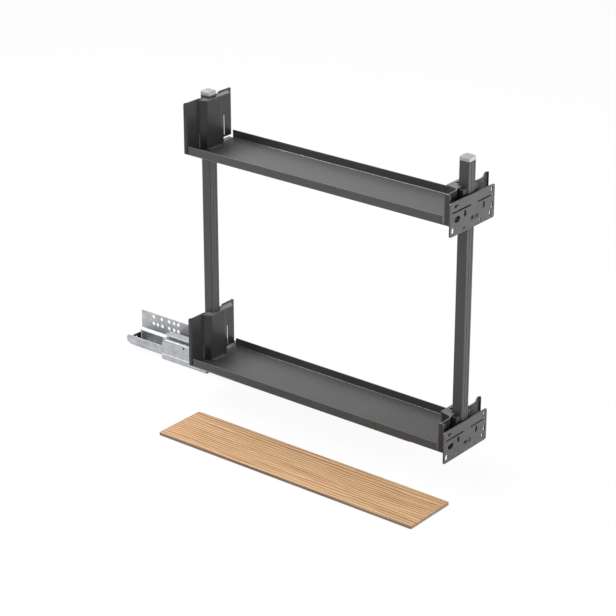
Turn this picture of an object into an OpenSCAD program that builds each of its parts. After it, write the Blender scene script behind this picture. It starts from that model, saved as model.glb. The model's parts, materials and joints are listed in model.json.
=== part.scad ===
// Pull-out cargo basket for a narrow base unit
// Units are millimetres, +X is the pull-out direction, +Y points to the cabinet wall, +Z is up.
// The origin is the middle of the wall screw line, on the wall face of the cabinet profile.
// It is drawn partly pulled out, with the oak board lying beside it.

/* [Cabinet rail] */
// Length of the cabinet profile
rail_len = 532; // [500:1:560]
// Distance between the two wall screws
wall_screw_span = 480; // [448:32:480]
// Radius of a wall screw hole
wall_screw_r = 3.2; // [2:0.1:3.5]
// Height of the flange above the wall screw line
flange_above = 6; // [5:0.5:8]
// Depth of the channel floor below the wall screw line
channel_below = 46; // [46:0.5:50]
// Depth of the channel, from the wall to its near side
channel_depth = 32; // [32:0.5:36]
// Height of the near side of the channel
channel_lip = 17; // [12:0.5:18]
// Sheet thickness of the rail profiles
rail_sheet = 1.5; // [1.2:0.1:1.6]
// Step that holds the lower part of the flange off the wall
wall_step = 4.5; // [3:0.5:5]
// Corner radius at the ends of the profiles' near sides
channel_round = 8; // [5:0.5:9]
// Row of the small flange holes, below the wall screw line
lower_row = 12; // [11:0.5:13]

/* [Middle rail] */
// Length of the middle profile
middle_len = 500; // [460:1:500]
// Distance of the middle profile's rear end behind the basket
middle_behind = 126; // [120:1:128]
// Width of the middle profile
middle_w = 25; // [24:0.5:26]
// Space between the near side of the channel and the middle profile
side_gap = 3.5; // [3:0.5:4]
// Height of the middle profile's top, below the wall screw line
middle_top = 14; // [13.5:0.5:15]
// Radius of a roller
roller_r = 10; // [8:0.5:10.5]
// Width of a roller
roller_w = 10; // [8:0.5:11]
// Radius of a roller axle
axle_r = 2.5; // [2:0.1:3]
// Radial play of a roller on its axle
roller_play = 0.06; // [0.03:0.01:0.1]
// Width of the guide on top of the middle profile
guide_w = 15; // [13:0.5:16]
// Height of the guide
guide_h = 8.5; // [8:0.5:9]

/* [Drawer rail] */
// Distance of the drawer profile's front end behind the tray's front end
drawer_inset = 20; // [10:1:60]
// Distance of the drawer profile's rear end behind the basket
drawer_behind = 20; // [10:1:40]
// Width of the drawer profile
drawer_w = 23; // [22:0.5:24]
// Height of the drawer profile
drawer_h = 11.5; // [11:0.25:12]
// Length of a glide block
glide_len = 40; // [30:1:50]
// Distance between the two glide blocks
glide_pitch = 160; // [120:1:165]

/* [Basket] */
// Length of a tray
tray_len = 486; // [470:1:500]
// Width of a tray
tray_w = 104; // [100:1:104]
// Height of a tray's side rims
rim_h = 14; // [10:0.5:20]
// Gap between a side rim and the holder's plate at its end
rim_gap = 3; // [2:0.5:8]
// Sheet thickness of the trays and holders
sheet = 1.5; // [1.2:0.1:1.6]
// Height from the lower tray to the upper tray
tray_pitch = 350; // [320:1:380]
// Distance of the tray's far side from the wall
tray_wall_gap = 7; // [7:0.5:10]
// Height of the lower tray's underside above the wall screw line
tray_lift = 1; // [0.5:0.5:2]
// Thickness of the carrier plate under the lower tray
carrier_t = 1.5; // [1.2:0.1:2]
// Distance of the basket's rear end from the rear end of the cabinet profile
pulled_out = 201; // [196:1:201]

/* [Posts] */
// Width of a square post
post_w = 18; // [16:0.5:18]
// Wall of a post
post_wall = 1.5; // [1.2:0.1:2]
// Outer corner radius of a post
post_r = 3; // [2.5:0.25:3.5]
// Distance of the rear post behind the trays
rear_post_out = 4.5; // [3:0.5:6]
// Distance of the front post before the trays
front_post_out = 1.5; // [1:0.5:4]
// Height of a post's top above the upper tray
post_above = 83; // [83:1:100]
// Depth of a post's foot below the lower tray
post_foot = 14; // [12:1:15]
// Depth of a groove in a post's face
groove_depth = 0.5; // [0.3:0.1:0.6]
// Width of a groove in a post's face
groove_w = 1.2; // [0.8:0.1:1.6]
// Distance between the two grooves of a face
groove_pitch = 6; // [5:0.5:7]
// Height of a cap's skirt
cap_skirt = 3; // [2.5:0.5:5]
// Height of a cap's rounded top
cap_dome = 3.5; // [3:0.5:7]
// Overhang of a cap's skirt
cap_over = 0.2; // [0.1:0.1:0.8]
// Depth of a cap's plug in its post
cap_plug = 12; // [8:1:16]

/* [Holders] */
// Height of a rear holder
rear_holder_h = 82; // [70:1:82]
// Height of a front holder's box
front_holder_h = 46; // [42:1:50]
// Height of the horn above the front holder's box
horn_h = 5; // [3:0.5:7]
// Width of the horn on the wall side of a front holder
horn_w = 7; // [6:0.5:10]
// Depth of a rear holder's flanges
rear_flange = 6; // [5:0.5:8]
// Depth of a front holder's flanges
front_flange = 10; // [8:0.5:12]
// Half width of a holder's box at its face
box_half = 17; // [16.5:0.5:18]
// Half width of a holder's box at its foot
box_foot_half = 21.5; // [21:0.5:23]
// Distance of the rear box face from the tray's end
rear_box = 17; // [16.5:0.5:20]
// Distance of the front box face from the tray's end
front_box = 28.5; // [26:0.5:32]
// Gap between the tray floor and the raised part of a holder
foot_gap = 5; // [4.5:0.5:6]
// Length of the feet that stand on the tray beside a front holder's gap
foot_w = 4; // [3:0.5:6]
// Width of the raised part of a rear holder on the wall side
raised_w = 20; // [14:0.5:24]
// Overhang of a lip over its box
lip_over = 1.5; // [1:0.25:2]
// Distance of a rear lip's far end from the wall side of the tray
lip_end = 18; // [14:0.5:24]
// Depth of the foot flange before a rear box
foot_out = 5; // [3:0.5:6]
// Step from a rear plate's top down to its lip
box_drop = 2; // [2:0.5:5]
// Width of the slit on the wall side of a rear box
slit_w = 2.6; // [2:0.2:4]
// Height of the slit on the wall side of a rear box
slit_h = 32; // [24:1:38]
// Distance of the slit on the wall side from the middle of the tray
far_slit = 34.5; // [30:0.5:38]
// Corner radius of a rear holder's plate
plate_r = 5; // [4:0.5:7]

/* [Clamps] */
// Height of a clamp block
clamp_h = 20; // [16:1:24]
// Play between a clamp block and its post
post_play = 0.15; // [0.1:0.05:0.3]
// Play between a clamp block and its holder
box_play = 0.3; // [0.2:0.05:0.5]
// Length of a rear clamp's side arm
clamp_arm = 21; // [18:1:22]
// Radius of a clamp screw
clamp_screw_r = 2; // [1.5:0.1:2.2]
// Depth of a clamp screw below its block's top
clamp_screw_len = 14; // [10:1:15]

/* [Door brackets] */
// Width of a bracket plate
bracket_w = 108; // [104:0.5:108]
// Offset of a bracket plate from the middle of the tray, away from the wall
bracket_aside = 4.5; // [0:0.5:5]
// Height of a bracket plate
bracket_h = 50; // [50:0.5:54]
// Thickness of a bracket plate
bracket_t = 2; // [1.5:0.1:2.5]
// Distance of a bracket plate's lower edge below its tray
bracket_below = 13; // [12:0.5:15]
// Thickness of a bracket base
base_t = 2.6; // [2.4:0.1:3]
// Height of a bracket base
base_h = 40; // [38:1:42]
// Side adjustment each way
side_adjust = 3; // [2:0.5:3.5]
// Height adjustment each way
height_adjust = 4; // [2:0.5:4]
// Radius of a door screw hole
door_screw_r = 2.2; // [1.8:0.1:2.5]
// Distance between the two door screw holes
door_screw_span = 40; // [36:1:44]
// Shank radius of the screws that hold a base to the post
base_screw_r = 2.5; // [2:0.1:2.8]
// Head radius of the screws that hold a base to the post
base_head_r = 4.4; // [4:0.1:4.6]
// Shank radius of the screw that holds a plate to its base
plate_screw_r = 1.6; // [1.4:0.1:2]
// Head radius of the screw that holds a plate to its base
plate_head_r = 2.9; // [2.6:0.1:3.4]
// Height of that screw's head
plate_head_t = 1; // [0.8:0.1:1.2]

/* [Board] */
// Length of the board
board_len = 473; // [400:1:480]
// Width of the board
board_w = 93; // [80:1:99]
// Thickness of the board
board_t = 4; // [3:0.5:6]
// Corner radius of the board
board_r = 3; // [2:0.5:6]
// Distance of the board's rear end before the basket's rear end
board_ahead = 55; // [10:1:120]
// Distance of the board from the basket's near side
board_aside = 41; // [14:1:100]
// Depth of the board's top below the lower tray
board_below = 47; // [10:1:50]

/* [Hidden] */
$fn = 48;

// Cuts reach this far past the faces they open
over = 1;
// Running gap between pieces that slide or roll on each other
run_gap = 0.3;
// Smallest gap between the bracket parts that slide on each other
slide_gap = 0.15;
// Radial play of a screw in its slot
screw_play = 0.1;
// Bend radius of the sheet, on its middle line
bend = 2;
// Number of flat steps in a bend
bend_steps = 5;
// Number of steps in a cap's rounded top
cap_steps = 6;

basket_x = -rail_len / 2 + pulled_out;
basket_y = -tray_wall_gap - tray_w;
basket_z = tray_lift;
mid_y = tray_w / 2;
post_top = tray_pitch + post_above;

rail_half = rail_sheet / 2;
channel_floor = -channel_below + rail_sheet;
middle_near = -channel_depth - side_gap - rail_sheet;
middle_far = middle_near + middle_w;
middle_x = basket_x - middle_behind;
middle_lip_z = -channel_below - rail_sheet - rail_sheet;
roller_z = channel_floor + run_gap + roller_r;
roller_x = [25, 180];
bead_z = -41;
middle_lip = 9;
// Length of the lip under the channel, at the middle profile's rear end
lip_len = 95;
bead_step = 1.5;
flange_hole_r = 3.2;
upper_hole_steps = [18, 34, 45, 54];
lower_hole_steps = [0, 9, 19, 34, 45, 54];
small_holes = [[49, -19], [60, -6]];
floor_slots = [22, 44];
tongue_out = 6.5;
tongue_r = 5.5;
tongue_h = channel_lip - bend - rail_sheet;
axle_end = middle_far + 2;
roller_y = middle_far - rail_sheet - run_gap - roller_w;

drawer_top = basket_z - carrier_t;
drawer_near = middle_near;
drawer_mid = drawer_near + drawer_w / 2;
drawer_lip = 6;
drawer_x = basket_x - drawer_behind;
drawer_len = tray_len + drawer_behind - drawer_inset;
guide_top = -middle_top + guide_h;
lip_top = drawer_top - drawer_h + rail_sheet;

half_sheet = sheet / 2;
rear_post_x = -rear_post_out;
front_post_x = tray_len + front_post_out - post_w;
post_y = mid_y - post_w / 2;
rear_plate_x = rear_flange - sheet;
front_plate_x = tray_len - front_flange;
front_holder_top = front_holder_h + horn_h;
// Dimples in the front plate: across, up from its box's top, radius
front_dimples = [[37, -9, 2.2], [30, -13, 1.8], [44, -6, 1.8], [-37, -9, 2.2]];
dimple = 0.8;
// Depth of the upper half of the flange below the horn
horn_flange = 4;
notch_gap = 0.8;
rear_lip_z = rear_holder_h - box_drop;
rear_clamp_top = rear_lip_z - sheet - box_play;
front_clamp_top = front_holder_h - sheet - box_play;
rear_screw_x = rear_plate_x + sheet + 2;
rear_screw_y = post_w / 2 + post_play + 4.2;
front_screw_x = (tray_len - front_box + sheet + box_play + front_post_x - post_play) / 2;

base_x = tray_len + front_post_out;
plate_x = base_x + base_t + slide_gap;
base_z = -7;
head_t = 1.2;
recess_t = head_t + 0.2;
post_screw_z = [14, 24];
plate_screw_z = 2;
plate_slot = 2 * (plate_screw_r + screw_play + side_adjust) + 8;
door_screw_z = -7.4;
// Slots of the bracket plate: across, up, length, width
plate_tall_slots = [
  [27, 13.5, 10, 5.5],
  [-18, 13.5, 10, 5],
  [48, 7, 11, 5],
  [44, -4, 8, 4.6],
  [-46.5, -4.8, 9.5, 7],
  [47.3, 30, 9, 4.4]
];
plate_flat_slots = [
  [-27, 22, 46, 2.6],
  [32, 22, 40, 2.6],
  [-37, 10, 14, 9],
  [-40, 30, 9, 4.6]
];

// Plane geometry of a folded sheet, given by the middle line of its profile
function unit(v) = v / norm(v);
function left(v) = [-v[1], v[0]];
function turned(v, a) = [v[0] * cos(a) - v[1] * sin(a), v[0] * sin(a) + v[1] * cos(a)];
function corner(a, b) = atan2(a[0] * b[1] - a[1] * b[0], a * b);
function bent(p, i, side, t, r) =
  let (
    a = unit(p[i] - p[i - 1]),
    b = unit(p[i + 1] - p[i]),
    q = corner(a, b),
    g = sign(q),
    c = p[i] - a * r * tan(abs(q) / 2) + left(a) * g * r
  )
  [for (k = [0:bend_steps]) c - turned(left(a) * (g * r - side * t / 2), q * k / bend_steps)];
function flank(p, side, t, r) =
  let (n = len(p) - 1)
  concat(
    [p[0] + left(unit(p[1] - p[0])) * side * t / 2],
    [for (i = [1:n - 1]) each bent(p, i, side, t, r)],
    [p[n] + left(unit(p[n] - p[n - 1])) * side * t / 2]
  );
function reversed(v) = [for (i = [len(v) - 1:-1:0]) v[i]];
function fold(p, t, r) = concat(flank(p, 1, t, r), reversed(flank(p, -1, t, r)));

// Lays a drawing of the YZ plane along X
module along_x(x, l) {
  translate([x, 0, 0])
    rotate([90, 0, 90])
      linear_extrude(l)
        children();
}

module rounded(w, h, r) {
  translate([r, 0]) square([w - 2 * r, h]);
  translate([0, r]) square([w, h - 2 * r]);
  for (x = [r, w - r], y = [r, h - r]) translate([x, y]) circle(r);
}

module flat_slot(y, z, l, w) {
  translate([y - l / 2 + w / 2, z - w / 2]) square([l - w, w]);
  for (s = [-1, 1]) translate([y + s * (l - w) / 2, z]) circle(w / 2);
}

module tall_slot(y, z, l, w) {
  translate([y - w / 2, z - l / 2 + w / 2]) square([w, l - w]);
  for (s = [-1, 1]) translate([y, z + s * (l - w) / 2]) circle(w / 2);
}

// Waste outside a quarter round at the top left corner of a sheet
module end_round(r) {
  difference() {
    translate([-over, -r]) square([r + over, r + over]);
    translate([r, -r]) circle(r);
  }
}

module at_basket() {
  translate([basket_x, basket_y, basket_z]) children();
}

module at_tray(level) {
  translate([basket_x, basket_y, basket_z + level * tray_pitch]) children();
}

// Cabinet rail
module flange_holes() {
  screw_x = wall_screw_span / 2;
  for (s = [-1, 1]) {
    translate([s * screw_x, 0]) circle(wall_screw_r);
    for (dx = upper_hole_steps) translate([s * (screw_x - dx), 0]) circle(flange_hole_r);
    for (dx = lower_hole_steps) translate([s * (screw_x - dx), -lower_row]) circle(flange_hole_r);
    for (h = small_holes) translate([s * (screw_x - h[0]), h[1]]) circle(1.2);
  }
}

module cabinet_profile() {
  step_z = -25;
  near = -channel_depth + rail_half;
  path = [
    [-rail_half, flange_above],
    [-rail_half, step_z],
    [-rail_half - wall_step, step_z - 4],
    [-rail_half - wall_step, channel_floor - rail_half],
    [near, channel_floor - rail_half],
    [near, channel_floor - rail_sheet + channel_lip]
  ];
  color("silver")
    difference() {
      union() {
        along_x(-rail_len / 2, rail_len) polygon(fold(path, rail_sheet, bend));
        translate([0, near + rail_half, channel_lip - channel_below])
          rotate([90, 0, 0])
            linear_extrude(rail_sheet)
              for (x = [-rail_len / 2 - tongue_out, rail_len / 2 - tongue_r])
                translate([x, -tongue_h]) rounded(tongue_out + tongue_r, tongue_h, tongue_r);
      }
      translate([0, over, 0])
        rotate([90, 0, 0])
          linear_extrude(rail_sheet + 2 * over)
            flange_holes();
      for (s = [-1, 1], x = floor_slots)
        translate([s * (rail_len / 2 - x), -channel_depth / 2, channel_floor - rail_sheet - over])
          linear_extrude(rail_sheet + 2 * over)
            flat_slot(0, 0, 16, 5);
    }
}

module rear_buffer() {
  near = -channel_depth + rail_sheet + bend;
  far = -wall_step - rail_sheet - bend;
  color("dimgray")
    translate([-rail_len / 2 + 0.5, near, channel_floor])
      difference() {
        cube([2.5, far - near, 13]);
        translate([-over, (far - near) / 2, 7])
          rotate([0, 90, 0])
            cylinder(r = 3, h = 6);
      }
}

// Middle rail
module middle_profile() {
  path = [
    [middle_near + middle_lip, middle_lip_z],
    [middle_near + rail_half, middle_lip_z],
    [middle_near + rail_half, bead_z],
    [middle_near + rail_half + bead_step, bead_z + bead_step],
    [middle_near + rail_half + bead_step, -middle_top - rail_half],
    [middle_far - rail_half, -middle_top - rail_half],
    [middle_far - rail_half, -channel_below + 5]
  ];
  color("gainsboro")
    difference() {
      along_x(middle_x, middle_len) polygon(fold(path, rail_sheet, bend));
      translate([middle_x + lip_len, middle_near - over, -channel_below - 2 * bend])
        cube([middle_len, middle_lip + 2 * over, 2 * bend + rail_sheet]);
      for (x = roller_x)
        translate([middle_x + x, middle_far - rail_sheet - over, roller_z])
          rotate([-90, 0, 0])
            cylinder(r = axle_r, h = rail_sheet + 2 * over);
      translate([middle_x + 46, middle_near - over, -middle_top - 5])
        rotate([-90, 0, 0])
          cylinder(r = 2, h = bead_step + rail_sheet + 2 * over);
      translate([middle_x, middle_near + bead_step + rail_sheet + over, -middle_top])
        rotate([90, 0, 0])
          linear_extrude(bead_step + rail_sheet + 2 * over)
            end_round(channel_round);
    }
}

module middle_guide() {
  stem = 1.5;
  y = drawer_mid;
  color("silver")
    along_x(middle_x + 4, middle_len - 8) {
      translate([y - stem / 2, -middle_top]) square([stem, guide_h - rail_sheet]);
      translate([y - guide_w / 2, guide_top - rail_sheet]) square([guide_w, rail_sheet]);
      translate([y - guide_w / 2, -middle_top]) square([guide_w, 1]);
    }
}

module middle_rollers() {
  color("whitesmoke")
    for (x = roller_x)
      translate([middle_x + x, roller_y, roller_z])
        rotate([-90, 0, 0])
          difference() {
            cylinder(r = roller_r, h = roller_w);
            translate([0, 0, -over]) cylinder(r = axle_r + roller_play, h = roller_w + 2 * over);
            translate([0, 0, -over])
              difference() {
                cylinder(r = roller_r - 2, h = 2 + over);
                translate([0, 0, -over]) cylinder(r = axle_r + 2, h = 2 + 3 * over);
              }
          }
}

module middle_axles() {
  color("gray")
    for (x = roller_x)
      translate([middle_x + x, 0, roller_z])
        rotate([-90, 0, 0]) {
          translate([0, 0, roller_y - 1.2]) cylinder(r = axle_r, h = axle_end - roller_y + 1.2);
          translate([0, 0, roller_y - 2.2]) cylinder(r = axle_r + 1.2, h = 1.9);
          translate([0, 0, middle_far]) cylinder(r = axle_r + 1, h = 1.2);
        }
}

// Drawer rail
module drawer_profile() {
  y0 = drawer_near + rail_half;
  y1 = drawer_near + drawer_w - rail_half;
  z0 = lip_top - rail_half;
  z1 = drawer_top - rail_half;
  path = [[y0 + drawer_lip, z0], [y0, z0], [y0, z1], [y1, z1], [y1, z0], [y1 - drawer_lip, z0]];
  color("gainsboro") along_x(drawer_x, drawer_len) polygon(fold(path, rail_sheet, 1.5));
}

module drawer_glides() {
  inner = drawer_w / 2 - rail_sheet - 0.2;
  low = lip_top + 0.1;
  high = drawer_top - rail_sheet - 0.1;
  arm = 3.6;
  color("ivory")
    for (x = [6, 6 + glide_pitch], s = [-1, 1])
      along_x(drawer_x + x, glide_len)
        translate([drawer_mid, 0])
          mirror([s > 0 ? 0 : 1, 0])
            difference() {
              translate([inner - arm, low]) rounded(arm, high - low, 1);
              translate([inner - arm - over, guide_top - rail_sheet - run_gap])
                square([guide_w / 2 + run_gap - inner + arm + over, rail_sheet + 2 * run_gap]);
            }
}

module carrier_plate() {
  arm = 30;
  near = 8;
  far = drawer_near + drawer_w - basket_y - 2;
  y0 = drawer_near - basket_y + 2;
  arm_x = [drawer_inset, (tray_len - arm) / 2, tray_len - drawer_inset - arm];
  color("dimgray")
    at_basket()
      translate([0, 0, -carrier_t])
        linear_extrude(carrier_t)
          difference() {
            union() {
              translate([drawer_inset, y0]) square([tray_len - 2 * drawer_inset, far - y0]);
              for (x = arm_x) translate([x, near]) square([arm, far - near]);
            }
            for (x = arm_x) translate([x + arm / 2, near + arm / 2]) circle(4);
          }
}

// Posts
module post_section() {
  difference() {
    translate([-post_w / 2, -post_w / 2]) rounded(post_w, post_w, post_r);
    translate([-post_w / 2 + post_wall, -post_w / 2 + post_wall])
      rounded(post_w - 2 * post_wall, post_w - 2 * post_wall, post_r - post_wall);
    for (s = [-1, 1], g = [-1, 1])
      translate([s * post_w / 2, g * groove_pitch / 2])
        square([2 * groove_depth, groove_w], center = true);
  }
}

module post_at(x) {
  at_basket()
    translate([x + post_w / 2, mid_y, -post_foot])
      linear_extrude(post_top + post_foot)
        post_section();
}

module rear_post() {
  color("slategray") post_at(rear_post_x);
}

module front_post() {
  color("slategray")
    difference() {
      post_at(front_post_x);
      for (level = [0, 1], z = post_screw_z)
        at_tray(level)
          translate([base_x - 2 * post_wall, mid_y, z])
            rotate([0, 90, 0])
              cylinder(r = base_screw_r + screw_play, h = 2 * post_wall + over);
    }
}

module cap() {
  w = post_w + 2 * cap_over;
  r = post_r + cap_over;
  plug = post_w - 2 * post_wall - 0.4;
  for (k = [0:cap_steps - 1]) {
    in = (1 - cos(90 * k / cap_steps)) * cap_dome * 0.8;
    top = cap_skirt + cap_dome * sin(90 * (k + 1) / cap_steps);
    translate([-w / 2 + in, -w / 2 + in, 0])
      linear_extrude(top)
        rounded(w - 2 * in, w - 2 * in, max(r - in, 1));
  }
  translate([-plug / 2, -plug / 2, -cap_plug])
    linear_extrude(cap_plug + cap_skirt)
      rounded(plug, plug, 1);
}

module post_caps() {
  color("lightgray")
    for (x = [rear_post_x, front_post_x])
      at_basket()
        translate([x + post_w / 2, mid_y, post_top])
          cap();
}

// Tray and holders
module tray() {
  path = [
    [half_sheet, rim_h],
    [half_sheet, half_sheet],
    [tray_w - half_sheet, half_sheet],
    [tray_w - half_sheet, rim_h]
  ];
  notch_y = post_y - notch_gap;
  notch_w = post_w + 2 * notch_gap;
  rear_notch = post_w - rear_post_out + notch_gap;
  front_notch = post_w - front_post_out + notch_gap;
  difference() {
    along_x(0, tray_len) polygon(fold(path, sheet, bend));
    translate([-over, -over, sheet])
      cube([rear_flange + rim_gap + over, tray_w + 2 * over, rim_h]);
    translate([front_plate_x - rim_gap, -over, sheet])
      cube([front_flange + rim_gap + over, tray_w + 2 * over, rim_h]);
    translate([-over, notch_y, -over]) cube([rear_notch + over, notch_w, sheet + 2 * over]);
    translate([tray_len - front_notch, notch_y, -over])
      cube([front_notch + over, notch_w, sheet + 2 * over]);
  }
}

function holder_path(plate, face, edge) = [
  [edge, half_sheet],
  [plate, half_sheet],
  [plate, mid_y - box_foot_half],
  [face, mid_y - box_half],
  [face, mid_y + box_half],
  [plate, mid_y + box_foot_half],
  [plate, tray_w - half_sheet],
  [edge, tray_w - half_sheet]
];

// Slits beside a rear box: across, up, width, height
module slits() {
  for (h = [[-box_foot_half - 2, 4, 1.5, 20], [far_slit, foot_gap + 3, slit_w, slit_h]])
    translate([rear_plate_x - over, mid_y + h[0] - h[2] / 2, sheet + h[1]])
      cube([sheet + 2 * over, h[2], h[3]]);
}

module post_hole(x) {
  r = notch_gap;
  translate([x - r, post_y - r]) square(post_w + 2 * r);
}

// What a rounded corner at the origin takes off, for a plate that lies below and beside it
module corner_cut(r) {
  difference() {
    translate([-over, -r]) square(r + over);
    translate([r, -r]) circle(r);
  }
}

module rear_corners() {
  translate([0, tray_w, rear_holder_h])
    mirror([0, 1, 0])
      along_x(-over, rear_box + 2 * over)
        corner_cut(plate_r);
  translate([0, sheet + over, rear_holder_h])
    rotate([90, 0, 0])
      linear_extrude(sheet + 2 * over)
        corner_cut(rear_flange - sheet);
}

module rear_holder() {
  plate = rear_plate_x + half_sheet;
  face = rear_box - half_sheet;
  cut_x = rear_plate_x + sheet + bend;
  difference() {
    translate([0, 0, sheet])
      linear_extrude(rear_holder_h - sheet)
        polygon(fold(holder_path(plate, face, 0), sheet, bend));
    translate([-over, tray_w - raised_w, 0])
      cube([rear_box + foot_out + 2 * over, raised_w + over, sheet + foot_gap]);
    translate([cut_x, 0, rear_lip_z]) cube([rear_box, tray_w, rear_holder_h]);
    slits();
    rear_corners();
  }
  translate([0, 0, rear_lip_z - sheet])
    linear_extrude(sheet)
      difference() {
        polygon([
          [plate, mid_y - box_foot_half - 4],
          [rear_box - 1, mid_y - box_half - 3.5],
          [rear_box + lip_over, mid_y - box_half - 2.5],
          [rear_box + lip_over, tray_w - lip_end - 1],
          [rear_box, tray_w - lip_end],
          [plate, tray_w - lip_end / 2]
        ]);
        post_hole(rear_post_x);
        translate([rear_screw_x, mid_y + rear_screw_y]) circle(clamp_screw_r + 0.5);
      }
  translate([0, 0, sheet])
    linear_extrude(sheet)
      polygon([
        [plate, mid_y - box_foot_half],
        [rear_box + foot_out, mid_y - box_half + 2],
        [rear_box + foot_out, mid_y + box_half - 8],
        [face, mid_y + box_half - 4],
        [face, mid_y - box_half + 2]
      ]);
}

module front_holder() {
  plate = front_plate_x + half_sheet;
  face = tray_len - front_box + half_sheet;
  cut_x = front_plate_x - bend;
  // Upper edge of the plate, across and up, from the near side to the wall side
  edge = [
    [-over, front_holder_h + 1],
    [3, front_holder_h + 1],
    [6, front_holder_h - 2],
    [mid_y - box_foot_half - 3, front_holder_h - 2],
    [mid_y - box_foot_half, front_holder_h],
    [mid_y + box_foot_half, front_holder_h],
    [mid_y + box_foot_half + 5, front_holder_h - 1],
    [tray_w - horn_w - 6, front_holder_h - 1],
    [tray_w - horn_w - 3, front_holder_h],
    [tray_w - horn_w - 1, front_holder_h + 2],
    [tray_w - horn_w, front_holder_top - 1],
    [tray_w - horn_w + 1.5, front_holder_top],
    [tray_w + over, front_holder_top],
    [tray_w + over, front_holder_top + over],
    [-over, front_holder_top + over]
  ];
  difference() {
    translate([0, 0, sheet])
      linear_extrude(front_holder_top - sheet)
        polygon(fold(holder_path(plate, face, tray_len), sheet, bend));
    translate([tray_len - front_box - over, foot_w, 0])
      cube([front_box + 2 * over, tray_w - 2 * foot_w, sheet + foot_gap]);
    translate([0, 0, front_holder_h]) cube([cut_x, tray_w, horn_h + over]);
    along_x(front_plate_x - bend - over, front_flange + bend + 2 * over) polygon(edge);
    translate([front_plate_x + horn_flange, tray_w - sheet - over, front_holder_h / 2])
      cube([front_flange, sheet + 2 * over, front_holder_h]);
    for (h = front_dimples)
      translate([front_plate_x + sheet - dimple, mid_y + h[0], front_holder_h + h[1]])
        rotate([0, 90, 0])
          cylinder(r = h[2], h = dimple + over);
  }
  translate([0, 0, front_holder_h - sheet])
    linear_extrude(sheet)
      difference() {
        polygon([
          [plate, mid_y - box_foot_half],
          [face - half_sheet - lip_over, mid_y - box_half],
          [face - half_sheet - lip_over, mid_y + box_half],
          [plate, mid_y + box_foot_half]
        ]);
        post_hole(front_post_x);
        translate([front_screw_x, mid_y]) circle(clamp_screw_r + 1.4);
      }
}

// Clamp blocks grip the posts inside the boxes
module clamp_screw_at(x) {
  translate([x, 0, -clamp_screw_len]) cylinder(r = clamp_screw_r, h = clamp_screw_len - 1);
  translate([x, 0, -2.4])
    difference() {
      cylinder(r = clamp_screw_r + 1, h = 2);
      translate([0, 0, 0.8]) cylinder(r = 1.5, h = 2, $fn = 6);
    }
}

module rear_clamp() {
  front = rear_box - sheet - box_play;
  post_face = post_w - rear_post_out + post_play;
  slope = (box_foot_half - box_half) / (rear_box - rear_plate_x - sheet);
  side = box_half - sheet - box_play;
  foot = side + slope * (front - rear_plate_x - sheet) - 0.6;
  back = rear_plate_x + sheet;
  hole_half = post_w / 2 + post_play;
  color("dimgray")
    translate([0, mid_y, rear_clamp_top - clamp_h])
      difference() {
        union() {
          linear_extrude(clamp_h)
            polygon([[back, -foot], [front, -side + 0.4], [front, side - 0.4], [back, foot],
              [0, foot], [0, -foot]]);
          translate([0, foot - 1, 0])
            cube([rear_plate_x - box_play, clamp_arm, clamp_h]);
        }
        translate([-over, -hole_half, -over])
          linear_extrude(clamp_h + 2 * over)
            square([post_face + over, 2 * hole_half]);
        translate([-over, hole_half + 2, clamp_h - 8])
          cube([rear_plate_x + over, foot - hole_half + 6, 8 + over]);
        translate([rear_screw_x, rear_screw_y, 0]) {
          translate([0, 0, clamp_h - clamp_screw_len - 1]) cylinder(r = clamp_screw_r, h = clamp_h);
          translate([0, 0, clamp_h - 2.5]) cylinder(r = clamp_screw_r + 1.2, h = 4);
        }
      }
}

module front_clamp() {
  front = tray_len - front_box + sheet + box_play;
  post_face = front_post_x - post_play;
  slope = (box_foot_half - box_half) / (front_box - front_flange);
  side = box_half - sheet - box_play;
  back = front_plate_x;
  foot = side + slope * (back - front) - 0.6;
  hole_half = post_w / 2 + post_play;
  end = tray_len - 1;
  color("dimgray")
    translate([0, mid_y, front_clamp_top - clamp_h])
      difference() {
        linear_extrude(clamp_h)
          polygon([[front, -side + 0.4], [back, -foot], [end, -foot], [end, foot], [back, foot],
            [front, side - 0.4]]);
        translate([post_face, -hole_half, -over])
          cube([post_w + 2 * over, 2 * hole_half, clamp_h + 2 * over]);
        translate([front_screw_x, 0, 0]) {
          translate([0, 0, clamp_h - clamp_screw_len - 1]) cylinder(r = clamp_screw_r, h = clamp_h);
          translate([0, 0, clamp_h - 2.5]) cylinder(r = clamp_screw_r + 1.2, h = 4);
        }
      }
}

module clamp_screws() {
  color("dimgray") {
    translate([0, mid_y + rear_screw_y, rear_clamp_top]) clamp_screw_at(rear_screw_x);
    translate([0, mid_y, front_clamp_top]) clamp_screw_at(front_screw_x);
  }
}

module lower_tray() {
  color("dimgray") at_tray(0) tray();
}

module lower_rear_holder() {
  color("gray") at_tray(0) rear_holder();
}

module lower_front_holder() {
  color("gray") at_tray(0) front_holder();
}

module lower_rear_clamp() {
  at_tray(0) rear_clamp();
}

module lower_front_clamp() {
  at_tray(0) front_clamp();
}

module lower_clamp_screws() {
  at_tray(0) clamp_screws();
}

module upper_tray() {
  color("dimgray") at_tray(1) tray();
}

module upper_rear_holder() {
  color("gray") at_tray(1) rear_holder();
}

module upper_front_holder() {
  color("gray") at_tray(1) front_holder();
}

module upper_rear_clamp() {
  at_tray(1) rear_clamp();
}

module upper_front_clamp() {
  at_tray(1) front_clamp();
}

module upper_clamp_screws() {
  at_tray(1) clamp_screws();
}

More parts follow.
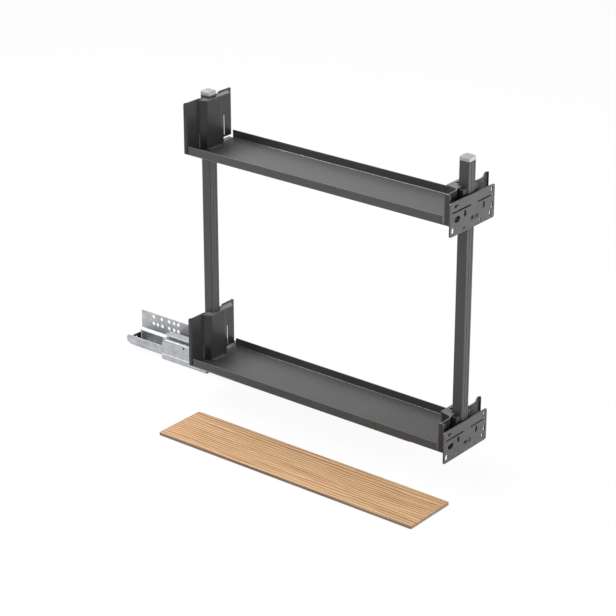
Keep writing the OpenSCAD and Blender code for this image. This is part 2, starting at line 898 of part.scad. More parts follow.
// Door brackets
module bracket_base() {
  slot_low = post_screw_z[0] - height_adjust - base_screw_r - screw_play;
  slot_high = post_screw_z[1] + height_adjust + base_screw_r + screw_play;
  slot_mid = (slot_low + slot_high) / 2;
  wide = base_head_r - base_screw_r;
  color("darkgray")
    difference() {
      along_x(base_x, base_t)
        translate([post_y, base_z])
          rounded(post_w, base_h, 2);
      along_x(base_x - over, base_t + 2 * over)
        tall_slot(mid_y, slot_mid, slot_high - slot_low, 2 * (base_screw_r + screw_play));
      along_x(base_x + base_t - recess_t, recess_t + over)
        tall_slot(mid_y, slot_mid, slot_high - slot_low + 2 * wide, 2 * (base_head_r + screw_play));
      translate([base_x - over, mid_y, plate_screw_z])
        rotate([0, 90, 0])
          cylinder(r = plate_screw_r, h = base_t + 2 * over);
    }
}

module post_screw() {
  translate([base_x - 2 * post_wall, mid_y, 0])
    rotate([0, 90, 0])
      cylinder(r = base_screw_r, h = 2 * post_wall + base_t - recess_t + 0.1);
  translate([base_x + base_t - recess_t + 0.05, mid_y, 0])
    rotate([0, 90, 0])
      difference() {
        cylinder(r = base_head_r, h = head_t);
        translate([0, 0, 0.6]) cylinder(r = 1.8, h = head_t, $fn = 6);
      }
}

module bracket_post_screws() {
  color("gray")
    for (level = [0, 1], z = post_screw_z)
      at_tray(level)
        translate([0, 0, z])
          post_screw();
}

module bracket_screw() {
  head_x = plate_x + bracket_t - base_x - plate_head_t - 0.1;
  color("gray")
    translate([base_x, mid_y, plate_screw_z])
      rotate([0, 90, 0]) {
        translate([0, 0, run_gap]) cylinder(r = plate_screw_r, h = head_x);
        translate([0, 0, head_x])
          difference() {
            cylinder(r = plate_head_r, h = plate_head_t);
            translate([0, 0, plate_head_t / 2]) cylinder(r = 1.2, h = plate_head_t, $fn = 6);
          }
      }
}

module bracket_drawing() {
  difference() {
    translate([-bracket_aside, 0])
      difference() {
        translate([-bracket_w / 2, -bracket_below]) rounded(bracket_w, bracket_h, 3);
        for (s = [-1, 1]) translate([s * door_screw_span / 2, door_screw_z]) circle(door_screw_r);
        for (h = plate_tall_slots) tall_slot(h[0], h[1], h[2], h[3]);
        for (h = plate_flat_slots) flat_slot(h[0], h[1], h[2], h[3]);
      }
    flat_slot(0, plate_screw_z, plate_slot, 2 * (plate_screw_r + screw_play));
  }
}

module bracket_plate() {
  wide = 2 * (plate_head_r - plate_screw_r);
  recess = plate_head_t + 0.1 + slide_gap;
  color("darkgray")
    difference() {
      along_x(plate_x, bracket_t)
        translate([mid_y, 0])
          bracket_drawing();
      along_x(plate_x + bracket_t - recess, recess + over)
        flat_slot(mid_y, plate_screw_z, plate_slot + wide, 2 * (plate_head_r + screw_play));
    }
}

module lower_bracket_base() {
  at_tray(0) bracket_base();
}

module lower_bracket_screw() {
  at_tray(0) bracket_screw();
}

module lower_bracket_plate() {
  at_tray(0) bracket_plate();
}

module upper_bracket_base() {
  at_tray(1) bracket_base();
}

module upper_bracket_screw() {
  at_tray(1) bracket_screw();
}

module upper_bracket_plate() {
  at_tray(1) bracket_plate();
}

// Loose board for a tray
module oak_board() {
  color("burlywood")
    at_basket()
      translate([board_ahead, -board_aside - board_w, -board_below - board_t])
        linear_extrude(board_t)
          rounded(board_len, board_w, board_r);
}

cabinet_profile();
rear_buffer();
middle_profile();
middle_guide();
middle_rollers();
middle_axles();
drawer_profile();
drawer_glides();
carrier_plate();
rear_post();
front_post();
post_caps();
bracket_post_screws();
lower_tray();
lower_rear_holder();
lower_front_holder();
lower_rear_clamp();
lower_front_clamp();
lower_clamp_screws();
upper_tray();
upper_rear_holder();
upper_front_holder();
upper_rear_clamp();
upper_front_clamp();
upper_clamp_screws();
lower_bracket_base();
lower_bracket_screw();
lower_bracket_plate();
upper_bracket_base();
upper_bracket_screw();
upper_bracket_plate();
oak_board();
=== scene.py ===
import json
import math
import bpy
import numpy as np
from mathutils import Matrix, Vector


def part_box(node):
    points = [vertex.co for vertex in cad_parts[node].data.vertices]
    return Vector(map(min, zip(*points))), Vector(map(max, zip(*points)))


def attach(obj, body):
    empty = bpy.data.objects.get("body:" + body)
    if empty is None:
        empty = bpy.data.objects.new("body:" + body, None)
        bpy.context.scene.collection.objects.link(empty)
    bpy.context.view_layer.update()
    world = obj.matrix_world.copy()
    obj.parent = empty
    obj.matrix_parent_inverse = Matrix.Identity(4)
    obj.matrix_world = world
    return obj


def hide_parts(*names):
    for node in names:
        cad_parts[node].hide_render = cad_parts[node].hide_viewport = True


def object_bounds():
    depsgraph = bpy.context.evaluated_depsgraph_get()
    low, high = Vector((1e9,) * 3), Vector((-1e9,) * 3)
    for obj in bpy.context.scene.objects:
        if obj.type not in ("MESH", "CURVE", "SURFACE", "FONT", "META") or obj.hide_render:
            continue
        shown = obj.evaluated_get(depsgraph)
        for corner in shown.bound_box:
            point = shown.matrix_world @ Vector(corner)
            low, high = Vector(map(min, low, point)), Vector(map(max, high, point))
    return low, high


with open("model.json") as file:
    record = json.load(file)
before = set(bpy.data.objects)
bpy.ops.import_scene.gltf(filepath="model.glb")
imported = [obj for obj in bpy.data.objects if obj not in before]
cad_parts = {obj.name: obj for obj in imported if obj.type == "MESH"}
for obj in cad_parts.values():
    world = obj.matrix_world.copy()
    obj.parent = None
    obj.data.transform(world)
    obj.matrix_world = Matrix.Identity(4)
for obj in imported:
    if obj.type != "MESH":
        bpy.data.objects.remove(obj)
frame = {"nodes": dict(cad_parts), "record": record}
cadLow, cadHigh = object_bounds()
nodes = frame["nodes"]
print("frame loaded:", len(nodes), "nodes")

mmInMetre = 1000.0
black = "#000000"
white = "#ffffff"


# an sRGB hex colour as linear red, green and blue, and full alpha
def toLinear(hexColour):
    raw = np.array([int(hexColour[i:i + 2], 16) for i in (1, 3, 5)]) / 255.0
    lin = np.where(raw <= 0.04045, raw / 12.92, ((raw + 0.055) / 1.055) ** 2.4)
    return (*lin.tolist(), 1.0)


# adds one node: settings are its attributes, with a ramp's stops as pairs of place and hex colour;
# inputs are values or output sockets, by the input's name or number.
# A Mix node blends inputs 2 and 3 of numbers, or 6 and 7 of colours, which come out at 2.
def put(tree, kind, settings=None, inputs=None):
    node = tree.nodes.new(kind)
    for key, value in (settings or {}).items():
        if key == "stops":
            elements = node.color_ramp.elements
            while len(elements) < len(value):
                elements.new(0.5)
            for element, (place, hexColour) in zip(elements, value):
                element.position = place
                element.color = toLinear(hexColour)
        else:
            setattr(node, key, value)
    for key, value in (inputs or {}).items():
        if isinstance(value, bpy.types.NodeSocket):
            tree.links.new(value, node.inputs[key])
        else:
            node.inputs[key].default_value = value
    return node


def newMaterial(name):
    mat = bpy.data.materials.new(name)
    mat.use_nodes = True
    mat.node_tree.nodes.clear()
    return mat, mat.node_tree


# share of edge, from 0 on flat faces to 1 on a sheet's cut edges and bends, and the rounded normal; the powder coats
# paint a pale edge highlight by this share. Span gives the cosine between the rounded and the true normal where the
# share is 0 and where it is 1
def edgeMask(tree, radiusMm, span):
    rounded = put(tree, "ShaderNodeBevel", {"samples": 4}, {"Radius": radiusMm / mmInMetre})
    true = put(tree, "ShaderNodeNewGeometry").outputs["True Normal"]
    along = put(tree, "ShaderNodeVectorMath", {"operation": "DOT_PRODUCT"}, {0: rounded.outputs[0], 1: true})
    mask = put(tree, "ShaderNodeMapRange", None, {
        "Value": along.outputs["Value"], "From Min": span[0], "From Max": span[1]})
    return mask.outputs[0], rounded.outputs[0]


# The real grain is about 0.3 mm across, too fine to show, so it is drawn at 1.1 mm.
# Places in a span are shares of the noise, or the upward part of the surface normal.
# The paler colour for faces that look up is painted top light. The pale colour along the cut edges and upward bends
# is a painted highlight, with some wear at the edges.
powderSpec = {
    "low": "#363637", "high": "#3e3e3f", "toneSpan": (0.36, 0.64), "grainShare": 0.35,
    "upper": "#4e4e4f", "upperSpan": (0.6, 0.9), "upperShare": 0.85,
    "edgeBand": "#a3a3a4", "edgeMm": 0.7, "edgeSpan": (0.99, 0.8), "edgeHighlightAndWear": 0.7,
    "bendSpan": (0.12, 0.4, 0.88, 0.98), "pulled": 0.35,
    "rough": 0.47, "slick": 0.2, "driftSpan": (0.3, 0.7), "drift": 0.05, "ior": 1.45,
    "grainMm": 1.1, "cloudMm": 70.0, "bump": 0.16, "bumpMm": 0.2,
}


def powderCoat(name, spec):
    # polyester powder, baked on sheet steel: satin and finely grained, thin along the cut edges, which get a pale
    # painted highlight with some wear, and painted top light makes the faces that look up paler
    mat, tree = newMaterial(name)
    where = put(tree, "ShaderNodeTexCoord").outputs["Object"]
    grain = put(tree, "ShaderNodeTexNoise", None, {
        "Vector": where, "Scale": mmInMetre / spec["grainMm"], "Detail": 2.0, "Roughness": 0.55})
    cloud = put(tree, "ShaderNodeTexNoise", None, {
        "Vector": where, "Scale": mmInMetre / spec["cloudMm"], "Detail": 4.0, "Roughness": 0.6})
    both = put(tree, "ShaderNodeMix", {"data_type": "FLOAT"}, {
        0: spec["grainShare"], 2: cloud.outputs["Fac"], 3: grain.outputs["Fac"]})
    tone = put(tree, "ShaderNodeValToRGB", {"stops": list(zip(spec["toneSpan"], (spec["low"], spec["high"])))}, {
        "Fac": both.outputs[0]})
    normal = put(tree, "ShaderNodeNewGeometry").outputs["True Normal"]
    upward = put(tree, "ShaderNodeSeparateXYZ", None, {0: normal}).outputs["Z"]
    # bends that face up are smoother, so they catch the lamps as a line, and are blended paler as well, a painted
    # highlight along the bend
    bend = put(tree, "ShaderNodeValToRGB", {"stops": list(zip(spec["bendSpan"], (black, white, white, black)))}, {
        "Fac": upward}).outputs["Color"]
    # painted top light: faces that look up are blended towards a paler colour
    above = put(tree, "ShaderNodeMapRange", None, {
        "Value": upward, "From Min": spec["upperSpan"][0], "From Max": spec["upperSpan"][1],
        "To Max": spec["upperShare"]})
    paintedTopLight = put(tree, "ShaderNodeMix", {"data_type": "RGBA"}, {
        0: above.outputs[0], 6: tone.outputs["Color"], 7: toLinear(spec["upper"])})
    # painted highlight with some wear: the cut edges and the upward bends are blended towards a pale colour
    edgeBand, rounded = edgeMask(tree, spec["edgeMm"], spec["edgeSpan"])
    edge = put(tree, "ShaderNodeMath", {"operation": "MULTIPLY"}, {0: edgeBand, 1: spec["edgeHighlightAndWear"]})
    pulled = put(tree, "ShaderNodeMath", {"operation": "MULTIPLY"}, {0: bend, 1: spec["pulled"]})
    paintedHighlightAndWear = put(tree, "ShaderNodeMath", {"operation": "MAXIMUM"}, {0: edge.outputs[0], 1: pulled.outputs[0]})
    body = put(tree, "ShaderNodeMix", {"data_type": "RGBA"}, {
        0: paintedHighlightAndWear.outputs[0], 6: paintedTopLight.outputs[2], 7: toLinear(spec["edgeBand"])})
    slick = put(tree, "ShaderNodeMix", {"data_type": "FLOAT"}, {0: bend, 2: spec["rough"], 3: spec["slick"]})
    drift = put(tree, "ShaderNodeMapRange", None, {
        "Value": cloud.outputs["Fac"], "From Min": spec["driftSpan"][0], "From Max": spec["driftSpan"][1],
        "To Min": -spec["drift"], "To Max": spec["drift"]})
    gloss = put(tree, "ShaderNodeMath", {"operation": "ADD"}, {0: drift.outputs[0], 1: slick.outputs[0]})
    skin = put(tree, "ShaderNodeBump", None, {
        "Height": grain.outputs["Fac"], "Strength": spec["bump"], "Distance": spec["bumpMm"] / mmInMetre,
        "Normal": rounded})
    shader = put(tree, "ShaderNodeBsdfPrincipled", None, {
        "Base Color": body.outputs[2], "Roughness": gloss.outputs[0], "IOR": spec["ior"], "Normal": skin.outputs[0]})
    put(tree, "ShaderNodeOutputMaterial", None, {"Surface": shader.outputs[0]})
    return mat


# The rolling streaks are about 0.3 mm apart on the real strip and are drawn at 1.3 mm, to show.
zincSpec = {
    "low": "#909295", "high": "#babcbf", "toneSpan": (0.34, 0.66), "cloudShare": 0.45,
    "bright": "#cdced0", "edgeMm": 0.5, "edgeSpan": (0.99, 0.8),
    "metallic": 0.9, "rough": 0.43, "smoother": 0.08, "rougher": 0.12,
    "streakMm": 1.3, "lengthMm": 70.0, "spangleMm": 9.0, "bump": 0.15, "bumpMm": 0.2,
}


def rolledZinc(name, spec):
    # zinc-plated strip, roll formed: streaks along the rolling direction, cloudy plating, bright cut edges
    mat, tree = newMaterial(name)
    where = put(tree, "ShaderNodeTexCoord").outputs["Object"]
    across = mmInMetre / spec["streakMm"]
    drawn = put(tree, "ShaderNodeMapping", None, {
        "Vector": where, "Scale": (mmInMetre / spec["lengthMm"], across, across)})
    streak = put(tree, "ShaderNodeTexNoise", None, {
        "Vector": drawn.outputs[0], "Scale": 1.0, "Detail": 4.0, "Roughness": 0.6})
    cloud = put(tree, "ShaderNodeTexNoise", None, {
        "Vector": where, "Scale": mmInMetre / spec["spangleMm"], "Detail": 3.0})
    both = put(tree, "ShaderNodeMix", {"data_type": "FLOAT"}, {
        0: spec["cloudShare"], 2: streak.outputs["Fac"], 3: cloud.outputs["Fac"]})
    tone = put(tree, "ShaderNodeValToRGB", {"stops": list(zip(spec["toneSpan"], (spec["low"], spec["high"])))}, {
        "Fac": both.outputs[0]})
    edgeBand, rounded = edgeMask(tree, spec["edgeMm"], spec["edgeSpan"])
    body = put(tree, "ShaderNodeMix", {"data_type": "RGBA"}, {
        0: edgeBand, 6: tone.outputs["Color"], 7: toLinear(spec["bright"])})
    gloss = put(tree, "ShaderNodeMapRange", None, {
        "Value": streak.outputs["Fac"],
        "To Min": spec["rough"] - spec["smoother"], "To Max": spec["rough"] + spec["rougher"]})
    skin = put(tree, "ShaderNodeBump", None, {
        "Height": streak.outputs["Fac"], "Strength": spec["bump"], "Distance": spec["bumpMm"] / mmInMetre,
        "Normal": rounded})
    shader = put(tree, "ShaderNodeBsdfPrincipled", None, {
        "Base Color": body.outputs[2], "Metallic": spec["metallic"], "Roughness": gloss.outputs[0],
        "Normal": skin.outputs[0]})
    put(tree, "ShaderNodeOutputMaterial", None, {"Surface": shader.outputs[0]})
    return mat


screwSpec = {
    "low": "#3c3d3f", "high": "#5d5e61", "toneSpan": (0.3, 0.7), "patchMm": 1.5,
    "metallic": 0.9, "rough": 0.32, "smoother": 0.08, "rougher": 0.1,
}


def platedScrew(name, spec):
    # cold-headed screw with a thin black-zinc plating, patchy where the driver has touched it
    mat, tree = newMaterial(name)
    where = put(tree, "ShaderNodeTexCoord").outputs["Object"]
    patch = put(tree, "ShaderNodeTexNoise", None, {
        "Vector": where, "Scale": mmInMetre / spec["patchMm"], "Detail": 3.0})
    tone = put(tree, "ShaderNodeValToRGB", {"stops": list(zip(spec["toneSpan"], (spec["low"], spec["high"])))}, {
        "Fac": patch.outputs["Fac"]})
    gloss = put(tree, "ShaderNodeMapRange", None, {
        "Value": patch.outputs["Fac"],
        "To Min": spec["rough"] - spec["smoother"], "To Max": spec["rough"] + spec["rougher"]})
    shader = put(tree, "ShaderNodeBsdfPrincipled", None, {
        "Base Color": tone.outputs["Color"], "Metallic": spec["metallic"], "Roughness": gloss.outputs[0]})
    put(tree, "ShaderNodeOutputMaterial", None, {"Surface": shader.outputs[0]})
    return mat


# A spark-eroded mould leaves a grain of about 0.1 mm, which is drawn at 1 mm and more, to show.
mouldSpec = {"toneSpan": (0.3, 0.7), "edgeMm": 0.8, "bump": 0.12, "bumpMm": 0.1, "drift": 0.05, "ior": 1.5}
nylonSpec = dict(mouldSpec, low="#8f9091", high="#9b9c9d", rough=0.42, grainMm=1.2)
blackSpec = dict(mouldSpec, low="#1b1b1c", high="#242426", rough=0.45, grainMm=1.2)
acetalSpec = dict(mouldSpec, low="#dcdcd8", high="#e8e8e4", rough=0.38, grainMm=1.5)
rubberSpec = dict(mouldSpec, low="#1c1c1d", high="#28282a", rough=0.8, grainMm=1.0)


def mouldedPlastic(name, spec):
    # injection-moulded part from a spark-eroded tool: an even fine grain, softly rounded edges
    mat, tree = newMaterial(name)
    where = put(tree, "ShaderNodeTexCoord").outputs["Object"]
    grain = put(tree, "ShaderNodeTexNoise", None, {
        "Vector": where, "Scale": mmInMetre / spec["grainMm"], "Detail": 2.0})
    tone = put(tree, "ShaderNodeValToRGB", {"stops": list(zip(spec["toneSpan"], (spec["low"], spec["high"])))}, {
        "Fac": grain.outputs["Fac"]})
    rounded = put(tree, "ShaderNodeBevel", {"samples": 4}, {"Radius": spec["edgeMm"] / mmInMetre})
    skin = put(tree, "ShaderNodeBump", None, {
        "Height": grain.outputs["Fac"], "Strength": spec["bump"], "Distance": spec["bumpMm"] / mmInMetre,
        "Normal": rounded.outputs[0]})
    gloss = put(tree, "ShaderNodeMapRange", None, {
        "Value": grain.outputs["Fac"],
        "To Min": spec["rough"] - spec["drift"], "To Max": spec["rough"] + spec["drift"]})
    shader = put(tree, "ShaderNodeBsdfPrincipled", None, {
        "Base Color": tone.outputs["Color"], "Roughness": gloss.outputs[0], "IOR": spec["ior"],
        "Normal": skin.outputs[0]})
    put(tree, "ShaderNodeOutputMaterial", None, {"Surface": shader.outputs[0]})
    return mat


# The pores are about 0.3 mm wide in real oak and are drawn nearly three times as wide, to show.
# Sizes of three run along the board, across it and through it.
oakSpec = {
    "pale": "#d8b589", "mid": "#c69e75", "dark": "#986e49", "toneSpan": (0.34, 0.5, 0.62),
    "ringMm": 5.7, "ringStretch": (0.06, 1.0, 0.5), "streakShare": 0.62, "streakRate": (1.5, 1.6, 0.4),
    "longMm": 240.0, "driftMm": (0.0, 16.0, 8.0), "driftRate": 7.0,
    "pore": "#7c5a3e", "poreMm": (26.316, 0.8696, 1.4286), "poreSpan": (0.54, 0.74), "poreShare": 0.6,
    "patch": "#e2cdb4", "patchMm": (250.0, 62.5, 62.5), "patchSpan": (0.3, 0.7), "patchShare": 0.3,
    "edge": "#5c4f45", "edgeMm": 1.8, "edgeSpan": (0.995, 0.85), "sideSpan": (0.8, 0.3), "sideShare": 0.8,
    "rough": 0.62, "ior": 1.5, "bump": 0.35, "bumpMm": 0.2,
}


def oiledOak(name, spec):
    # quarter-cut oak with an oil finish: fine, nearly straight growth rings along the board, short dark pores
    mat, tree = newMaterial(name)
    coords = put(tree, "ShaderNodeTexCoord").outputs["Object"]
    longScale = mmInMetre / spec["longMm"]
    ringScale = mmInMetre / spec["ringMm"]
    # a slow noise pushes the grain sideways by up to driftMm, so that its lines wander
    slowAcross = longScale * spec["driftRate"]
    slow = put(tree, "ShaderNodeMapping", None, {"Vector": coords, "Scale": (longScale, slowAcross, slowAcross)})
    drift = put(tree, "ShaderNodeTexNoise", None, {
        "Vector": slow.outputs[0], "Scale": 1.0, "Detail": 2.0, "Roughness": 0.45})
    bent = put(tree, "ShaderNodeVectorMath", {"operation": "MULTIPLY_ADD"}, {
        0: drift.outputs["Color"], 1: [size / mmInMetre for size in spec["driftMm"]], 2: coords})
    # the squeezed X stretches the rings' unevenness along the grain
    lengthwise = put(tree, "ShaderNodeMapping", None, {"Vector": bent.outputs[0], "Scale": spec["ringStretch"]})
    bandPeriod = math.pi / 10.0  # Blender's bands repeat after this length at scale 1
    rings = put(tree, "ShaderNodeTexWave", {
        "wave_type": "BANDS", "bands_direction": "Y", "wave_profile": "SAW"}, {
        "Vector": lengthwise.outputs[0], "Scale": bandPeriod * ringScale,
        "Distortion": 2.8, "Detail": 3.0, "Detail Scale": 0.7, "Detail Roughness": 0.6})
    streakLong, streakAcross, streakThrough = spec["streakRate"]
    streakMap = put(tree, "ShaderNodeMapping", None, {
        "Vector": bent.outputs[0],
        "Scale": (longScale * streakLong, ringScale * streakAcross, ringScale * streakThrough)})
    streaks = put(tree, "ShaderNodeTexNoise", None, {
        "Vector": streakMap.outputs[0], "Scale": 1.0, "Detail": 3.0, "Roughness": 0.62, "Lacunarity": 2.3})
    mixed = put(tree, "ShaderNodeMix", {"data_type": "FLOAT"}, {
        0: spec["streakShare"], 2: rings.outputs["Fac"], 3: streaks.outputs["Fac"]})
    tone = put(tree, "ShaderNodeValToRGB", {
        "stops": list(zip(spec["toneSpan"], (spec["pale"], spec["mid"], spec["dark"])))}, {
        "Fac": mixed.outputs[0]})
    poreMap = put(tree, "ShaderNodeMapping", None, {
        "Vector": bent.outputs[0], "Scale": [mmInMetre / size for size in spec["poreMm"]]})
    pores = put(tree, "ShaderNodeTexNoise", None, {
        "Vector": poreMap.outputs[0], "Scale": 1.0, "Detail": 3.0, "Roughness": 0.7})
    poreMask = put(tree, "ShaderNodeMapRange", None, {
        "Value": pores.outputs["Fac"], "From Min": spec["poreSpan"][0], "From Max": spec["poreSpan"][1],
        "To Max": spec["poreShare"]})
    patchMap = put(tree, "ShaderNodeMapping", None, {
        "Vector": coords, "Scale": [mmInMetre / size for size in spec["patchMm"]]})
    patches = put(tree, "ShaderNodeTexNoise", None, {"Vector": patchMap.outputs[0], "Scale": 1.0, "Detail": 2.0})
    tint = put(tree, "ShaderNodeValToRGB", {"stops": list(zip(spec["patchSpan"], (spec["patch"], white)))}, {
        "Fac": patches.outputs["Fac"]})
    tinted = put(tree, "ShaderNodeMix", {"data_type": "RGBA", "blend_type": "MULTIPLY"}, {
        0: spec["patchShare"], 6: tone.outputs["Color"], 7: tint.outputs["Color"]})
    wood = put(tree, "ShaderNodeMix", {"data_type": "RGBA"}, {
        0: poreMask.outputs[0], 6: tinted.outputs[2], 7: toLinear(spec["pore"])})
    # the sawn edges soak up more oil, so they are darker than the sanded faces
    edgeBand, rounded = edgeMask(tree, spec["edgeMm"], spec["edgeSpan"])
    normal = put(tree, "ShaderNodeNewGeometry").outputs["True Normal"]
    upward = put(tree, "ShaderNodeSeparateXYZ", None, {0: normal})
    level = put(tree, "ShaderNodeMath", {"operation": "ABSOLUTE"}, {0: upward.outputs["Z"]})
    side = put(tree, "ShaderNodeMapRange", None, {
        "Value": level.outputs[0], "From Min": spec["sideSpan"][0], "From Max": spec["sideSpan"][1],
        "To Max": spec["sideShare"]})
    border = put(tree, "ShaderNodeMath", {"operation": "MAXIMUM"}, {0: edgeBand, 1: side.outputs[0]})
    body = put(tree, "ShaderNodeMix", {"data_type": "RGBA"}, {
        0: border.outputs[0], 6: wood.outputs[2], 7: toLinear(spec["edge"])})
    skin = put(tree, "ShaderNodeBump", {"invert": True}, {
        "Height": poreMask.outputs[0], "Strength": spec["bump"], "Distance": spec["bumpMm"] / mmInMetre,
        "Normal": rounded})
    shader = put(tree, "ShaderNodeBsdfPrincipled", None, {
        "Base Color": body.outputs[2], "Roughness": spec["rough"], "IOR": spec["ior"], "Normal": skin.outputs[0]})
    put(tree, "ShaderNodeOutputMaterial", None, {"Surface": shader.outputs[0]})
    return mat


# the same coat on four kinds of piece: the trays, the drawn posts, darker with little painted edge highlight, the
# holders, darkest and glossiest with paler painted top light on upper faces and strong painted edge highlights, and
# the stamped door plates, a little coarser
postSpec = dict(powderSpec, low="#313132", high="#393939", edgeHighlightAndWear=0.2, edgeMm=0.3)
holderSpec = dict(powderSpec, low="#232324", high="#2b2b2c", upper="#69696a", edgeBand="#a2a2a3",
                  edgeHighlightAndWear=0.85, rough=0.3, ior=1.4)
plateSpec = dict(powderSpec, low="#363637", high="#404041", edgeHighlightAndWear=0.2, rough=0.42, grainMm=1.4)

coat = powderCoat("satinPowderCoat", powderSpec)
postCoat = powderCoat("drawnPostCoat", postSpec)
holderCoat = powderCoat("darkHolderCoat", holderSpec)
doorPlate = powderCoat("stampedPlateCoat", plateSpec)
zinc = rolledZinc("rolledZincStrip", zincSpec)
screwMetal = platedScrew("platedScrewSteel", screwSpec)
nylon = mouldedPlastic("mouldedGreyNylon", nylonSpec)
blackNylon = mouldedPlastic("mouldedBlackNylon", blackSpec)
acetal = mouldedPlastic("mouldedPaleAcetal", acetalSpec)
rubber = mouldedPlastic("mouldedRubber", rubberSpec)
oak = oiledOak("oiledOak", oakSpec)
finishOf = {"powder_coat": coat, "grey_polymer": nylon, "black_polymer": blackNylon, "zinc_steel": zinc,
            "dark_steel": doorPlate, "screw_steel": screwMetal, "white_polymer": acetal, "rubber": rubber,
            "oak": oak}
finishByName = {"rear_post": postCoat, "front_post": postCoat,
                "lower_rear_holder": holderCoat, "lower_front_holder": holderCoat,
                "upper_rear_holder": holderCoat, "upper_front_holder": holderCoat}


# sizes in millimetres; half is from a cap's middle to its side, and draw is how far the dome pulls in
capSpec = {
    "half": 9.2, "radius": 3.2, "skirt": 3.0, "dome": 3.5, "draw": 2.6, "leastRadius": 1.4, "lip": 0.35,
    "plugHalf": 7.3, "plugRadius": 1.2, "plug": 12.0,
    "rings": 14, "perCorner": 9, "sharpDegrees": 40.0,
}


def capSkin(spec, centre, top, start):
    # rounded squares, one a row: a quarter circle on each corner centre, half minus radius from the middle.
    # The rows climb the plug, step out under the skirt, climb it, then close over the dome along a quarter ellipse.
    # The faces count their corners from start.
    lift = np.linspace(0.0, np.pi / 2, spec["rings"])
    inset = (1.0 - np.cos(lift)) * spec["draw"]
    half = np.concatenate([
        [spec["plugHalf"]] * 2, [spec["half"] - spec["lip"], spec["half"]], spec["half"] - inset])
    radius = np.concatenate([
        [spec["plugRadius"]] * 2, [spec["radius"] - spec["lip"], spec["radius"]],
        np.maximum(spec["radius"] - inset, spec["leastRadius"])])
    height = top - spec["skirt"] - spec["dome"] + np.concatenate([
        [-spec["plug"], 0.0, 0.0, spec["lip"]], spec["skirt"] + spec["dome"] * np.sin(lift)])
    quarter = np.repeat(np.arange(4), spec["perCorner"])
    angle = (quarter + np.tile(np.linspace(0.0, 1.0, spec["perCorner"]), 4)) * np.pi / 2
    sideX = np.array([1, -1, -1, 1])[quarter]
    sideY = np.array([1, 1, -1, -1])[quarter]
    reach = (half - radius)[:, None]
    x = centre[0] + sideX * reach + radius[:, None] * np.cos(angle)
    y = centre[1] + sideY * reach + radius[:, None] * np.sin(angle)
    z = np.broadcast_to(height[:, None], x.shape)
    points = np.stack([x, y, z], axis=-1).reshape(-1, 3) / mmInMetre
    rows, count = x.shape
    here = np.arange(count)
    after = (here + 1) % count
    below = start + np.arange(rows - 1)[:, None] * count
    above = below + count
    walls = np.stack([below + here, below + after, above + after, above + here], axis=-1)
    bottom = start + here[::-1]
    crownFace = start + (rows - 1) * count + here
    return points, walls.reshape(-1, 4).tolist() + [bottom.tolist(), crownFace.tolist()]


def buildCaps(spec, finish):
    low, high = (np.array(corner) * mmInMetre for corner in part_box("post_caps"))
    middleY = (low[1] + high[1]) / 2
    points, faces = np.empty((0, 3)), []
    for middleX in (low[0] + spec["half"], high[0] - spec["half"]):
        capPoints, capFaces = capSkin(spec, (middleX, middleY), high[2], len(points))
        points = np.concatenate([points, capPoints])
        faces += capFaces
    mesh = bpy.data.meshes.new("postCaps")
    mesh.from_pydata(points.tolist(), [], faces)
    mesh.materials.append(finish)
    mesh.polygons.foreach_set("use_smooth", [True] * len(mesh.polygons))
    mesh.set_sharp_from_angle(angle=math.radians(spec["sharpDegrees"]))
    obj = bpy.data.objects.new("postCaps", mesh)
    bpy.context.scene.collection.objects.link(obj)
    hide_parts("post_caps")
    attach(obj, "basket")


for entry in frame["record"]["subparts"]:
    finish = finishByName.get(entry["node"], finishOf[entry["material_slot"]])
    for materialSlot in nodes[entry["node"]].material_slots:
        materialSlot.material = finish
print("finishes set")
buildCaps(capSpec, nylon)
print("caps built")


# metres, except the share of white that the camera sees in the floor
floorSpec = {"drop": 0.0015, "size": 9.0, "colour": "#f4f4f3", "whiteShare": 0.94}


def buildFloor(spec):
    # plain pale floor that the camera sees nearly white, with a faint shadow left on it;
    # reflections see it as it is lit
    mat, tree = newMaterial("paleFloor")
    path = put(tree, "ShaderNodeLightPath")
    share = put(tree, "ShaderNodeMath", {"operation": "MULTIPLY"}, {
        0: path.outputs["Is Camera Ray"], 1: spec["whiteShare"]})
    body = put(tree, "ShaderNodeBsdfDiffuse", None, {"Color": toLinear(spec["colour"])})
    glow = put(tree, "ShaderNodeEmission", None, {"Color": toLinear(white), "Strength": 1.0})
    both = put(tree, "ShaderNodeMixShader", None, {0: share.outputs[0], 1: body.outputs[0], 2: glow.outputs[0]})
    put(tree, "ShaderNodeOutputMaterial", None, {"Surface": both.outputs[0]})
    half = spec["size"] / 2
    low = cadLow[2] - spec["drop"]
    corners = [(-half, -half, low), (half, -half, low), (half, half, low), (-half, half, low)]
    mesh = bpy.data.meshes.new("studioFloor")
    mesh.from_pydata(corners, [], [(0, 1, 2, 3)])
    mesh.materials.append(mat)
    obj = bpy.data.objects.new("studioFloor", mesh)
    bpy.context.scene.collection.objects.link(obj)


worldSpec = {"lit": 0.42, "seen": 1.0}


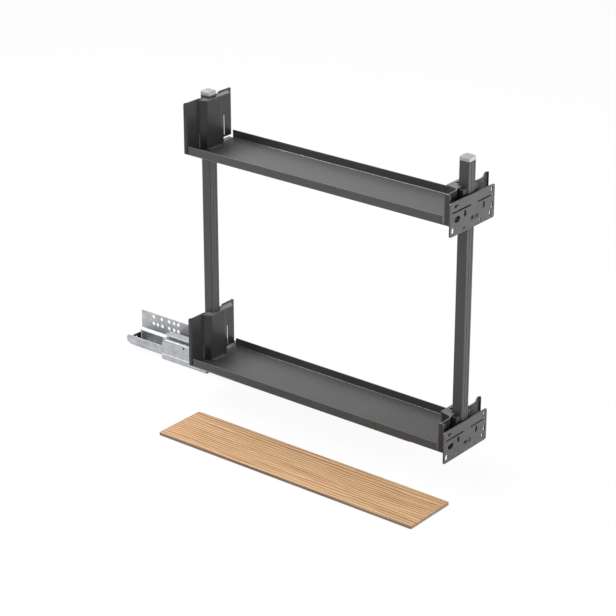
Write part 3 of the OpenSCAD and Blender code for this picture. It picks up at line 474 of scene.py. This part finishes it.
def buildWorld(spec):
    # even pale light all round, seen as plain white by the camera and in gloss
    world = bpy.data.worlds.new("studioWorld")
    bpy.context.scene.world = world
    world.use_nodes = True
    tree = world.node_tree
    tree.nodes.clear()
    path = put(tree, "ShaderNodeLightPath")
    lit = put(tree, "ShaderNodeBackground", None, {"Color": toLinear(white), "Strength": spec["lit"]})
    plain = put(tree, "ShaderNodeBackground", None, {"Color": toLinear(white), "Strength": spec["seen"]})
    looked = put(tree, "ShaderNodeMath", {"operation": "MAXIMUM"}, {
        0: path.outputs["Is Camera Ray"], 1: path.outputs["Is Glossy Ray"]})
    seen = put(tree, "ShaderNodeMath", {"operation": "MAXIMUM"}, {
        0: looked.outputs[0], 1: path.outputs["Is Transmission Ray"]})
    pick = put(tree, "ShaderNodeMixShader", None, {0: seen.outputs[0], 1: lit.outputs[0], 2: plain.outputs[0]})
    put(tree, "ShaderNodeOutputWorld", None, {"Surface": pick.outputs[0]})


# metres and watts
lamps = {
    "leftSoftbox": {"at": (-1.15, -0.95, 1.85), "size": 1.0, "power": 22.0},
    "frontSoftbox": {"at": (2.45, 0.5, 0.4), "size": 1.2, "power": 58.0},
    "fillCard": {"at": (0.3, -2.3, 0.8), "size": 1.2, "power": 8.0},
    "topSoftbox": {"at": (-0.95, 0.1, 2.1), "size": 1.4, "power": 35.0},
}


def buildLamps(spec, target):
    for name, lamp in spec.items():
        light = bpy.data.lights.new(name, "AREA")
        light.shape = "DISK"
        light.size = lamp["size"]
        light.energy = lamp["power"]
        obj = bpy.data.objects.new(name, light)
        bpy.context.scene.collection.objects.link(obj)
        obj.location = lamp["at"]
        obj.rotation_euler = (target - Vector(lamp["at"])).to_track_quat("-Z", "Y").to_euler()


# camera fitted to the corners and posts of the photograph: millimetres, degrees and pixels, clip in metres
shot = {"place": (2029.5, -2445.3, 1448.6), "azimuth": 38.5, "pitch": 23.31,
        "focalPx": 2200.0, "framePx": 616, "sensor": 36.0, "clip": (0.05, 50.0)}


def buildCamera(spec):
    cam = bpy.data.cameras.new("photoCamera")
    cam.sensor_width = spec["sensor"]
    cam.sensor_fit = "HORIZONTAL"
    cam.lens = spec["focalPx"] * spec["sensor"] / spec["framePx"]
    cam.clip_start, cam.clip_end = spec["clip"]
    obj = bpy.data.objects.new("photoCamera", cam)
    bpy.context.scene.collection.objects.link(obj)
    obj.location = Vector(spec["place"]) / mmInMetre
    obj.rotation_euler = (math.radians(90.0 - spec["pitch"]), 0.0, math.radians(spec["azimuth"]))
    bpy.context.scene.camera = obj


buildFloor(floorSpec)
buildWorld(worldSpec)
buildLamps(lamps, (Vector(cadLow) + Vector(cadHigh)) / 2)
buildCamera(shot)
bpy.context.scene.view_settings.view_transform = "Standard"
print("studio built")
